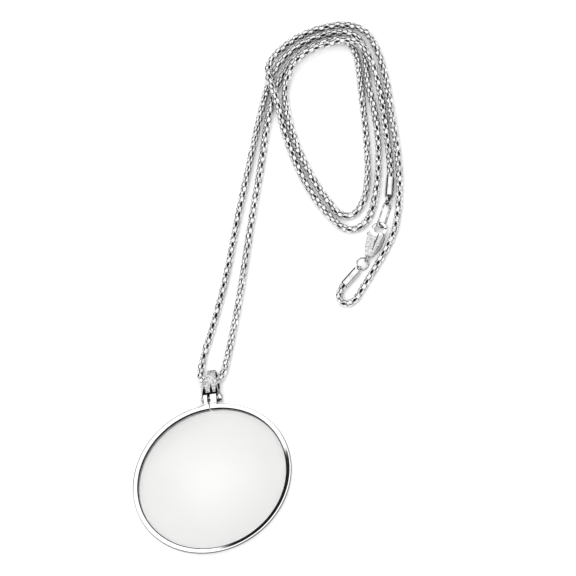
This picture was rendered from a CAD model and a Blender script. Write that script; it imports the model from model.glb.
import bpy
import math
import numpy as np
from mathutils import Matrix, Vector


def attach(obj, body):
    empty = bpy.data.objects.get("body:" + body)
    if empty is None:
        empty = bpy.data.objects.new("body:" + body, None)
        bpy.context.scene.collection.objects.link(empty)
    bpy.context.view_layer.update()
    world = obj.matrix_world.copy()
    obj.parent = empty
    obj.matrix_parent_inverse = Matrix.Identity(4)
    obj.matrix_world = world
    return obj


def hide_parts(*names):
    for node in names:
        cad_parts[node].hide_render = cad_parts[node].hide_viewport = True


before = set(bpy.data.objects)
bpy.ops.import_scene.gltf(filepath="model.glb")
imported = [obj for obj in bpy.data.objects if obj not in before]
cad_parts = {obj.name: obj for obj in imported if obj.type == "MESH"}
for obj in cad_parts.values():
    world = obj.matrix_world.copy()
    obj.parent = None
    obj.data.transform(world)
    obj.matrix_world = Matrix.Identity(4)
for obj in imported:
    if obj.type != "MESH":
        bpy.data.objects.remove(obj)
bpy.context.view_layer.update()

# Lengths, places and heights below are in millimetres
MM = 0.001

# Camera, at the photo's angle and so far away that parallel lines stay nearly parallel
AZIMUTH = math.radians(27.4)
ELEVATION = math.radians(59.5)
ROLL = math.radians(32.96)
TARGET = Vector((7.6, -1.8, 3))
DISTANCE = 8000
VIEW_WIDTH = 174.5
SENSOR = 36
TO_CAMERA = Vector((math.sin(AZIMUTH) * math.cos(ELEVATION),
                    -math.cos(AZIMUTH) * math.cos(ELEVATION),
                    math.sin(ELEVATION)))


def add_camera():
    """Look at the target from the camera's direction, rolled about the line of sight."""
    across = Vector((math.cos(AZIMUTH), math.sin(AZIMUTH), 0))
    upward = TO_CAMERA.cross(across)
    right = math.cos(ROLL) * across - math.sin(ROLL) * upward
    up = math.sin(ROLL) * across + math.cos(ROLL) * upward
    data = bpy.data.cameras.new("camera")
    data.sensor_width = SENSOR
    data.lens = SENSOR * DISTANCE / VIEW_WIDTH
    data.clip_start = 100 * MM
    data.clip_end = 100000 * MM
    camera = bpy.data.objects.new("camera", data)
    turn = Matrix((right, up, TO_CAMERA)).transposed().to_4x4()
    camera.matrix_world = Matrix.Translation((TARGET + TO_CAMERA * DISTANCE) * MM) @ turn
    bpy.context.collection.objects.link(camera)
    bpy.context.scene.camera = camera


# Shader nodes
CREVICE_SAMPLES = 12


def grey(value):
    return (value, value, value, 1)


class Nodes:
    """A node tree, with short ways to add the nodes that the world and the materials share."""

    def __init__(self, tree):
        self.tree = tree

    def feed(self, socket, value):
        """Give a socket a plain value, or link another node's output to it."""
        if isinstance(value, bpy.types.NodeSocket):
            self.tree.links.new(value, socket)
        else:
            socket.default_value = value

    def add(self, kind, **inputs):
        node = self.tree.nodes.new("ShaderNode" + kind)
        for name, value in inputs.items():
            self.feed(node.inputs[name.replace("_", " ")], value)
        return node

    def operate(self, kind, operation, values):
        node = self.add(kind)
        node.operation = operation
        for socket, value in zip(node.inputs, values):
            self.feed(socket, value)
        return node

    def number(self, operation, *values):
        return self.operate("Math", operation, values).outputs["Value"]

    def vector(self, operation, *values):
        node = self.operate("VectorMath", operation, values)
        return node.outputs["Value" if operation in ("LENGTH", "DOT_PRODUCT") else "Vector"]

    def spread(self, value, start, end, low=0.0, high=1.0, curve="LINEAR"):
        """Go from low to high while a value goes from start to end, and stay level outside them."""
        node = self.add("MapRange", Value=value, From_Min=start, From_Max=end, To_Min=low, To_Max=high)
        node.interpolation_type = curve
        return node.outputs["Result"]

    def ramp(self, value, *stops):
        """Grey by a value from 0 to 1, between stops of a position and its grey, level outside them."""
        node = self.add("ValToRGB", Fac=value)
        marks = node.color_ramp.elements
        for mark, (position, shade) in zip(marks, (stops[0], stops[-1])):
            mark.position, mark.color = position, grey(shade)
        for position, shade in stops[1:-1]:
            marks.new(position).color = grey(shade)
        return node.outputs["Color"]


class Finish(Nodes):
    """A new material, whose nodes go by the place on the object."""

    def __init__(self, name, **values):
        self.material = bpy.data.materials.new(name)
        self.material.use_nodes = True
        super().__init__(self.material.node_tree)
        self.shader = self.tree.nodes["Principled BSDF"]
        self.place = self.add("TexCoord").outputs["Object"]
        self.set(**values)

    def set(self, **values):
        for name, value in values.items():
            self.feed(self.shader.inputs[name.replace("_", " ")], value)

    def noise(self, cells, detail=3, stretch=None):
        """Noise with so many cells a metre."""
        place = self.place
        if stretch:
            place = self.add("Mapping", Vector=place, Scale=stretch).outputs["Vector"]
        return self.add("TexNoise", Vector=place, Scale=cells, Detail=detail).outputs["Fac"]

    def vary(self, noise, low, high):
        """Turn a noise, which lies mostly between 0.3 and 0.7, into a value from low to high."""
        return self.spread(noise, 0.3, 0.7, low, high)

    def crevice(self, reach, *stops):
        """Grey by how open a place is to what lies within reach, 0 for shut in and 1 for open."""
        node = self.add("AmbientOcclusion", Distance=reach * MM)
        node.samples = CREVICE_SAMPLES
        return self.ramp(node.outputs["AO"], *stops)

    def ring(self, middle, inner, outer):
        """0 within the inner distance of a place in the plan, 1 beyond the outer one."""
        flat = self.vector("MULTIPLY_ADD", self.place, (1, 1, 0), Vector((-middle[0], -middle[1], 0)) * MM)
        return self.spread(self.vector("LENGTH", flat), inner * MM, outer * MM)

    def level(self, low, high):
        """0 under the low height, 1 over the high one."""
        height = self.add("SeparateXYZ", Vector=self.place).outputs["Z"]
        return self.spread(height, low * MM, high * MM)

    def lozenge(self, middle, half_width, half_length, dark):
        """Dark in a lozenge round a place in the plan, with its length along Y, and 1 outside it."""
        away = self.vector("ABSOLUTE", self.vector("SUBTRACT", self.place, Vector(middle + (0,)) * MM))
        share = self.vector("DOT_PRODUCT", away, (1 / (half_width * MM), 1 / (half_length * MM), 0))
        return self.ramp(share, (0.7, dark), (1, 1))

    def bump(self, *layers):
        """Relief in layers, each of a height from 0 to 1, its strength and its depth."""
        normal = None
        for height, strength, depth in layers:
            node = self.add("Bump", Height=height, Strength=strength, Distance=depth * MM)
            if normal:
                self.feed(node.inputs["Normal"], normal)
            normal = node.outputs["Normal"]
        self.set(Normal=normal)


# World, white overhead and grey low down, with a dark corner and a dark round for the metal to mirror
# Sines of the elevations between which the light grows, and how strong it is there
SKY_HEIGHTS = (0.05, 0.5)
SKY_LIGHT = (0.4, 1.42)
# Azimuth of the corner, and the cosines of the angles from it at which the dark begins and is full
CORNER_AZIMUTH = math.radians(130)
CORNER_SIDES = (0.9135, 0.956)
# Sines of the elevations at which the corner starts to fade and ends
CORNER_TOP = (0.682, 0.766)
# Cosines of the angles from the middle of the round at which the dark begins and is full
ROUND_EDGE = (0.972, 0.988)
# How dark the round is beside the corner, and the share of the light that is left in the corner
ROUND_SHARE = 0.6
DARKEST = 0.012


def set_world():
    """A studio's light, all from the sky, with the round where its camera would stand."""
    world = bpy.data.worlds.new("studio")
    bpy.context.scene.world = world
    world.use_nodes = True
    world.node_tree.nodes.clear()
    sky = Nodes(world.node_tree)
    direction = sky.add("TexCoord").outputs["Generated"]
    height = sky.add("SeparateXYZ", Vector=direction).outputs["Z"]

    def step(value, edge, low, high):
        return sky.spread(value, *edge, low, high, "SMOOTHSTEP")

    flat = sky.vector("LENGTH", sky.vector("MULTIPLY", direction, (1, 1, 0)))
    towards = sky.vector("DOT_PRODUCT", direction, (math.cos(CORNER_AZIMUTH), math.sin(CORNER_AZIMUTH), 0))
    turned = sky.number("DIVIDE", towards, sky.number("MAXIMUM", flat, 0.001))
    corner = sky.number("MULTIPLY", step(turned, CORNER_SIDES, 0, 1), step(height, CORNER_TOP, 1, 0))
    facing = sky.vector("DOT_PRODUCT", direction, TO_CAMERA)
    dark_round = sky.number("MULTIPLY", step(facing, ROUND_EDGE, 0, 1), ROUND_SHARE)
    dark = sky.number("MAXIMUM", corner, dark_round)
    light = sky.number("MULTIPLY", step(height, SKY_HEIGHTS, *SKY_LIGHT), step(dark, (0, 1), 1, DARKEST))
    background = sky.add("Background", Color=grey(1), Strength=light)
    sky.add("OutputWorld", Surface=background.outputs["Background"])


# Materials
# Middle of the rim and of its lens, and the radius of the lens that shows
PENDANT = (-18.5, -61.285)
LIP_R = 23.25
# Radii between which the rim's greys change. Each list below pairs a radius with its grey
RIM_INNER = 22.25
RIM_OUTER = 26.25
# Least grey from the lens to the top's outer edge, which keeps crevice shade off the top
RIM_TOP = ((24.53, 1), (24.73, 0.85), (25.01, 0.85), (25.13, 0))
# Dark wall round the lens, and a dark line along the outer edge
LENS_WALL = ((23.57, 1), (23.63, 0))
OUTER_LINE = ((24.75, 0), (24.81, 1), (25.01, 1), (25.05, 0))
# The two dark bands, the heights between which each begins, and how much light it takes
RIM_BANDS = ((LENS_WALL, (1.3, 1.4), 0.99), (OUTER_LINE, (1.5, 1.58), 0.7))
# Middle, half width and half length of each dark flute on the bail, and the light left in them
BAIL_FLUTES = (((-19.65, -32.4), 0.55, 2.4), ((-17.53, -32.4), 0.55, 2.8), ((-15.85, -32.4), 0.45, 2.2))
FLUTE_DARK = 0.04
# Middle of the clasp's hook, the distances from it between which its wear fades, and its grey
HOOK = (36.37, 13.87)
HOOK_WORN = (2.4, 2.9)
HOOK_LIGHT = 0.93
# Colour of the lens
LENS_TINT = (0.905, 0.903, 0.897, 1)
# The lens's alpha at shares of its radius. Less of it lets more light straight through
LENS_ALPHA = ((0.05, 0.6), (0.35, 0.7), (0.7, 0.83), (0.93, 0.8), (1, 0.5))
# Least and most roughness of a silver, as shares of its own
ROUGH_LEAST = 0.65
ROUGH_MOST = 1.5


def rim_shade(finish, shade):
    """Clean the rim's top of crevice shade, then darken the wall round the lens and the outer edge."""
    across = finish.ring(PENDANT, RIM_INNER, RIM_OUTER)

    def by_radius(stops):
        return finish.ramp(across, *[((radius - RIM_INNER) / (RIM_OUTER - RIM_INNER), value)
                                     for radius, value in stops])

    shade = finish.vector("MAXIMUM", shade, by_radius(RIM_TOP))
    for stops, heights, depth in RIM_BANDS:
        over = finish.ramp(finish.level(*heights), (0, 0), (1, depth))
        shade = finish.vector("SUBTRACT", shade, finish.vector("MULTIPLY", by_radius(stops), over))
    return shade


def flute_shade(finish, shade):
    """Darken the bail's flutes."""
    for flute in BAIL_FLUTES:
        shade = finish.vector("MULTIPLY", shade, finish.lozenge(*flute, FLUTE_DARK))
    return shade


def hook_wear(finish, speckle):
    """Brighten the clasp's hook, where the ring rubs it."""
    worn = finish.ramp(finish.ring(HOOK, *HOOK_WORN), (0, HOOK_LIGHT), (1, 0))
    return finish.vector("MAXIMUM", speckle, worn)


def silver(name, light, dark, rough, scratch=0.15, dents=0.12, deep=0.3, half=0.6, reach=2, grain=350,
           shading=None, wear=None):
    """Silver in two greys, finely scratched and dented, that goes darker in its crevices.

    deep and half are the light that is left deep in a crevice and halfway out of it, reach is how far
    away a neighbour still shades, and grain is the number of specks of the two greys a metre.
    """
    finish = Finish(name, Metallic=1)
    shade = finish.crevice(reach, (0.3, deep / 2), (0.6, deep), (0.8, half), (0.95, 1))
    if shading:
        shade = shading(finish, shade)
    speckle = finish.ramp(finish.noise(grain, 4), (0.35, dark), (0.62, light))
    if wear:
        speckle = wear(finish, speckle)
    finish.set(Base_Color=finish.vector("MULTIPLY", speckle, shade),
               Roughness=finish.vary(finish.noise(900), rough * ROUGH_LEAST, rough * ROUGH_MOST))
    finish.bump((finish.noise(1500, 2, (1, 9, 1)), scratch, 0.01), (finish.noise(420, 1), dents, 0.04))
    return finish.material


def tarnish(name):
    """Nearly black silver, for the inside of the links."""
    finish = Finish(name, Metallic=0.9)
    finish.set(Base_Color=finish.ramp(finish.noise(900), (0.3, 0.012), (0.7, 0.05)),
               Roughness=finish.vary(finish.noise(1300, 2), 0.35, 0.6))
    finish.bump((finish.noise(2600, 2), 0.3, 0.02))
    return finish.material


def glass(name):
    """Clear glass with faint waves. Its plain roughness is for a viewer that takes no roughness map."""
    finish = Finish(name, Base_Color=LENS_TINT, IOR=1.5, Transmission_Weight=1, Roughness=0)
    finish.set(Alpha=finish.ramp(finish.ring(PENDANT, 0, LIP_R), *LENS_ALPHA),
               Roughness=finish.vary(finish.noise(120, 2), 0, 0.012))
    finish.bump((finish.noise(60, 1), 0.02, 0.02))
    return finish.material


def floor_white(name):
    """A smooth pale surface that glows a little, so that it stays nearly white in the soft light."""
    finish = Finish(name, Roughness=0.6, Emission_Color=grey(1), Emission_Strength=0.16)
    finish.set(Base_Color=finish.ramp(finish.noise(14), (0.3, 0.93), (0.7, 0.95)))
    finish.bump((finish.noise(800, 2), 0.02, 0.2))
    return finish.material


# Chain, its middle line through the construction's own points, from the bail to each cap
# Height of the middle line where the chain lies on the surface
LOW = 1.05
BAIL_PASS = (-18.5, -29, 1.9)
ROUTE_A = [
    BAIL_PASS, (-15.9, -28.7, 1.8), (-14.1, -26.4, 1.3), (-13, -22.5, LOW), (-11.5, -16.5, LOW),
    (-7.5, 2.5, LOW), (-4, 22, LOW), (-0.2, 41.5, LOW), (3.3, 60.3, LOW), (5.8, 68.2, LOW),
    (9.2, 74.2, LOW), (12.8, 77.6, LOW), (17.3, 79.8, LOW), (22.3, 80.8, LOW), (26.4, 80.5, LOW),
    (29.3, 78.5, LOW), (31.2, 73.5, LOW), (31.9, 67, LOW), (32.4, 59.5, LOW), (33.4, 41, LOW),
    (33.2, 32, LOW), (32, 25.6, LOW), (30, 21.8, LOW), (27.4, 20.2, LOW), (24.5, 21.2, LOW),
    (21, 26, LOW), (15.4, 36.5, LOW), (11, 48.5, LOW), (8.7, 58.8, LOW), (8.2, 65.2, 1.3),
    (9.5, 70.6, 2.1), (12.5, 75, 2.9), (17.2, 77.6, 3.3), (22.8, 78.7, 3.3), (28.2, 79.2, 3.3),
    (32.7, 77, 3.3), (35.8, 72, 3), (37.2, 66, 1.4), (38.4, 59, LOW), (39.8, 45, LOW),
    (40.5, 35, 1.15), (40.4, 30.8, 1.3), (40.05, 27.3, 1.3)]
ROUTE_B = [
    BAIL_PASS, (-20.4, -28, 1.8), (-21.2, -25.5, 1.25), (-20.6, -21.5, LOW), (-17.6, -12, LOW),
    (-13.5, 1.5, LOW), (-8.2, 24.5, LOW), (-2.8, 47, LOW), (0.5, 60.5, LOW), (3.2, 69.2, LOW),
    (6.5, 75.5, LOW), (10.5, 79.4, LOW), (15.5, 82, LOW), (21.5, 83.2, LOW), (27, 83, LOW),
    (31, 81.2, LOW), (33.3, 77.5, LOW), (34, 72.5, LOW), (34.4, 64.5, LOW), (36, 55.5, LOW),
    (37, 43, LOW), (36.5, 32.5, LOW), (35.2, 24.5, LOW), (33.5, 19.2, LOW), (30.8, 16.2, LOW),
    (27.6, 15.5, LOW), (24.6, 17, LOW), (21.8, 20.2, LOW), (15.8, 29.5, LOW), (10.6, 42, LOW),
    (7.8, 51.5, LOW), (6.4, 59.5, 1.9), (5.5, 65, 3.3), (3.8, 70.5, 3.4), (3.9, 75, 2.8),
    (6.4, 79.3, 1.75), (10.3, 82.5, LOW), (16, 84.8, LOW), (22.5, 85.8, LOW), (28.5, 85.3, LOW),
    (33.9, 82.3, LOW), (37.4, 76, LOW), (39.5, 68, LOW), (41.6, 52, LOW), (43.2, 35, LOW),
    (42.8, 22, LOW), (40.7, 12, LOW), (36.8, 4.8, LOW), (32.5, -1.8, LOW), (29.7, -6, LOW),
    (28.1, -8.3, LOW), (25.9, -9.3, LOW), (23.8, -8.5, LOW), (22.9, -6.2, 1.15), (24.4, -3.1, 1.3),
    (27.25, -0.25, 1.3)]
# Step of the fine line through a route
FINE_STEP = 0.05
# A link's outer radius at its middle and its ends, and how full its outline is between them
LINK_R = 1.13
LINK_END_R = 0.3
LINK_FULLNESS = 0.4545
# Length that each link adds to the chain, and how far it reaches into its neighbours
PITCH = 1.7
LINK_LAP = 0.5
# Core in the middle of a link, and the most that it takes of the outer radius
CORE_R = 0.36
CORE_SHARE = 0.6
CORE_SIDES = 6
# A link's petals, their thickness and the least radius that they reach in to
PETALS = 4
PETAL_T = 0.2
PETAL_LEAST_R = 0.06
# Places across a petal's outer side from -1 to 1, with the drop at each, and those of its inner side
PETAL_OUTSIDE = ((-1, 0.2), (-0.8, 0.07), (-0.45, 0.01), (0.45, 0.01), (0.8, 0.07), (1, 0.2))
PETAL_INSIDE = (0.8, -0.8)
# A petal's number of sides, and which of them faces the core
PETAL_SIDES = len(PETAL_OUTSIDE) + len(PETAL_INSIDE)
PETAL_DARK_SIDE = len(PETAL_OUTSIDE)
# Places along a link from 0 to 1, with a petal's half width at each, on an open and on a shut link
PETAL_AT = (0, 0.06, 0.15, 0.3, 0.5, 0.7, 0.85, 0.94, 1)
OPEN_HALF = (0.22, 0.42, 0.6, 0.48, 0.36, 0.48, 0.6, 0.42, 0.22)
SHUT_HALF = (0.22, 0.42, 0.62, 0.7, 0.72, 0.7, 0.62, 0.42, 0.22)
# Slow waves of the chain's twist, in radians: each one's size, turn a link and share of the phase
TWIST_WAVES = ((0.3, 0.11, 1), (0.25, 0.043, 2))
# Most that a link's own twist adds or takes off, in radians
TWIST_JITTER = 0.2
# Edges of a link that turn by more than this many degrees stay sharp
SHARP_EDGE = 35


def smooth_line(points, start):
    """Fine steps along a smooth curve through the points, which leaves the first in a direction."""
    p = np.array(points, float)
    gap = np.linalg.norm(np.diff(p, axis=0), axis=1)
    slope = np.diff(p, axis=0) / gap[:, None]
    tangent = np.empty_like(p)
    tangent[1:-1] = slope[:-1] * gap[1:, None] + slope[1:] * gap[:-1, None]
    tangent[1:-1] /= (gap[:-1] + gap[1:])[:, None]
    tangent[0] = start
    tangent[-1] = slope[-1]
    parts = []
    for i, h in enumerate(gap):
        t = np.linspace(0, 1, max(3, int(h / FINE_STEP)), endpoint=False)[:, None]
        parts.append((2 * t**3 - 3 * t**2 + 1) * p[i] + (t**3 - 2 * t**2 + t) * h * tangent[i]
                     + (3 * t**2 - 2 * t**3) * p[i + 1] + (t**3 - t**2) * h * tangent[i + 1])
    line = np.vstack(parts + [p[-1:]])
    # No link sinks into the surface
    line[:, 2] = np.maximum(line[:, 2], LINK_R)
    return line


def even_points(line, pitch):
    """Points evenly apart along a line, as near to the pitch as its length allows."""
    run = np.r_[0, np.cumsum(np.linalg.norm(np.diff(line, axis=0), axis=1))]
    at = np.linspace(0, run[-1], round(run[-1] / pitch) + 1)
    return np.column_stack([np.interp(at, run, line[:, axis]) for axis in range(3)])


def lantern_link(pitch, half_widths):
    """One link along X, a cage of petals round a core: its points, its faces and which are dark."""
    along = np.array(PETAL_AT) - 0.5
    radius = np.maximum(LINK_END_R, LINK_R * (1 - np.abs(2 * along)**3)**LINK_FULLNESS)
    rings = len(along)
    points, faces, dark = [], [], []

    def skin(sides, dark_sides, dark_ends):
        """Close the rings of points that were added last into one skin."""
        base = len(points) - sides * rings
        last = len(points) - sides
        for first in range(base, last, sides):
            for k in range(sides):
                a, b = first + k, first + (k + 1) % sides
                faces.append((a, b, b + sides, a + sides))
                dark.append(k in dark_sides)
        faces.append(tuple(base + k for k in reversed(range(sides))))
        faces.append(tuple(last + k for k in range(sides)))
        dark.extend([dark_ends, dark_ends])

    for petal in range(PETALS):
        for x, r, half in zip(along * (pitch + LINK_LAP), radius, half_widths):
            inner = max(r - PETAL_T, PETAL_LEAST_R)
            outside = [(across, max(r - drop, inner)) for across, drop in PETAL_OUTSIDE]
            for across, out in outside + [(across, inner) for across in PETAL_INSIDE]:
                angle = petal * math.tau / PETALS + across * half / r
                points.append((x, out * math.sin(angle), out * math.cos(angle)))
        skin(PETAL_SIDES, [PETAL_DARK_SIDE], False)
    for x, r in zip(along * pitch, np.minimum(CORE_R, radius * CORE_SHARE)):
        for k in range(CORE_SIDES):
            angle = k * math.tau / CORE_SIDES
            points.append((x, r * math.sin(angle), r * math.cos(angle)))
    skin(CORE_SIDES, range(CORE_SIDES), True)
    return np.array(points), faces, dark


def add_mesh(name, points, faces, materials, which=None, sharp=None):
    """A smooth object, with the number of each face's material and the angle of a sharp edge."""
    mesh = bpy.data.meshes.new(name)
    mesh.from_pydata([tuple(point) for point in points], [], faces)
    for material in materials:
        mesh.materials.append(material)
    if which is not None:
        mesh.polygons.foreach_set("material_index", which)
    mesh.polygons.foreach_set("use_smooth", [True] * len(mesh.polygons))
    if sharp:
        mesh.set_sharp_from_angle(angle=math.radians(sharp))
    mesh.update()
    obj = bpy.data.objects.new(name, mesh)
    bpy.context.collection.objects.link(obj)
    return obj


def lantern_chain(name, route, start, node, materials, phase):
    """Open and shut links in turn along a route, slowly twisting, in place of a node."""
    ends = even_points(smooth_line(route, start), PITCH)
    pitch = np.linalg.norm(np.diff(ends, axis=0), axis=1).mean()
    kinds = [lantern_link(pitch, half) for half in (OPEN_HALF, SHUT_HALF)]
    jitter = np.random.default_rng(7)
    points, faces, which = [], [], []
    for i in range(len(ends) - 1):
        middle = (ends[i] + ends[i + 1]) / 2
        forward = ends[i + 1] - ends[i]
        forward /= np.linalg.norm(forward)
        side = np.cross((0, 0, 1), forward)
        side /= np.linalg.norm(side)
        up = np.cross(forward, side)
        twist = (i % 2) * math.pi / PETALS + jitter.uniform(-TWIST_JITTER, TWIST_JITTER)
        twist += sum(size * math.sin(i * turn + share * phase) for size, turn, share in TWIST_WAVES)
        turned_side = math.cos(twist) * side + math.sin(twist) * up
        turned_up = math.cos(twist) * up - math.sin(twist) * side
        link, link_faces, link_dark = kinds[i % 2]
        base = len(points) * len(link)
        points.append(middle + link[:, :1] * forward + link[:, 1:2] * turned_side + link[:, 2:] * turned_up)
        faces += [tuple(base + k for k in face) for face in link_faces]
        which += [int(dark) for dark in link_dark]
    obj = add_mesh(name, np.vstack(points) * MM, faces, materials, which, SHARP_EDGE)
    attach(obj, "necklace")
    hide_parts(node)


# Floor, with half its width
FLOOR_HALF = 12000


def add_floor():
    corners = [(-1, -1, 0), (1, -1, 0), (1, 1, 0), (-1, 1, 0)]
    floor = add_mesh("floor", [Vector(corner) * FLOOR_HALF * MM for corner in corners], [(0, 1, 2, 3)],
                     [floor_white("floor_white")])


bpy.context.scene.view_settings.view_transform = "Standard"
add_camera()
set_world()
add_floor()

bright = silver("polished_silver", light=0.93, dark=0.88, rough=0.06, deep=0.45, reach=6, shading=rim_shade)
satin = silver("satin_silver", light=0.64, dark=0.2, rough=0.2, scratch=0.5, dents=0.3, deep=0.03, half=0.22,
               reach=1, grain=2000, shading=flute_shade)
chain_outside = silver("chain_silver", light=0.93, dark=0.5, rough=0.15, scratch=0.2, dents=0.2, deep=0.4,
                       half=0.75, reach=1.4, grain=900)
chain_inside = tarnish("chain_inside")
cap_metal = silver("cap_silver", light=0.8, dark=0.6, rough=0.15)
ring_metal = silver("ring_silver", light=0.78, dark=0.12, rough=0.12, deep=0.12, half=0.4, reach=1,
                    grain=1500)
clasp_metal = silver("clasp_silver", light=0.66, dark=0.3, rough=0.14, scratch=0.3, dents=0.3, deep=0.03,
                     half=0.25, reach=1, grain=2000, wear=hook_wear)
lens_glass = glass("lens_glass")

lantern_chain("chain_links_a", ROUTE_A, (1, 0, 0), "chain_a", [chain_outside, chain_inside], phase=0.6)
lantern_chain("chain_links_b", ROUTE_B, (-1, 0, 0), "chain_b", [chain_outside, chain_inside], phase=2.1)

FINISH = {"frame": bright, "lens": lens_glass, "lug_screw": bright, "bail": satin,
          "end_cap_a": cap_metal, "end_cap_b": cap_metal, "jump_ring_a": ring_metal,
          "oval_ring": ring_metal, "jump_ring_b": ring_metal, "clasp_body": clasp_metal,
          "clasp_lever": clasp_metal, "clasp_pin": clasp_metal}
for name, material in FINISH.items():
    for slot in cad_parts[name].material_slots:
        slot.material = material
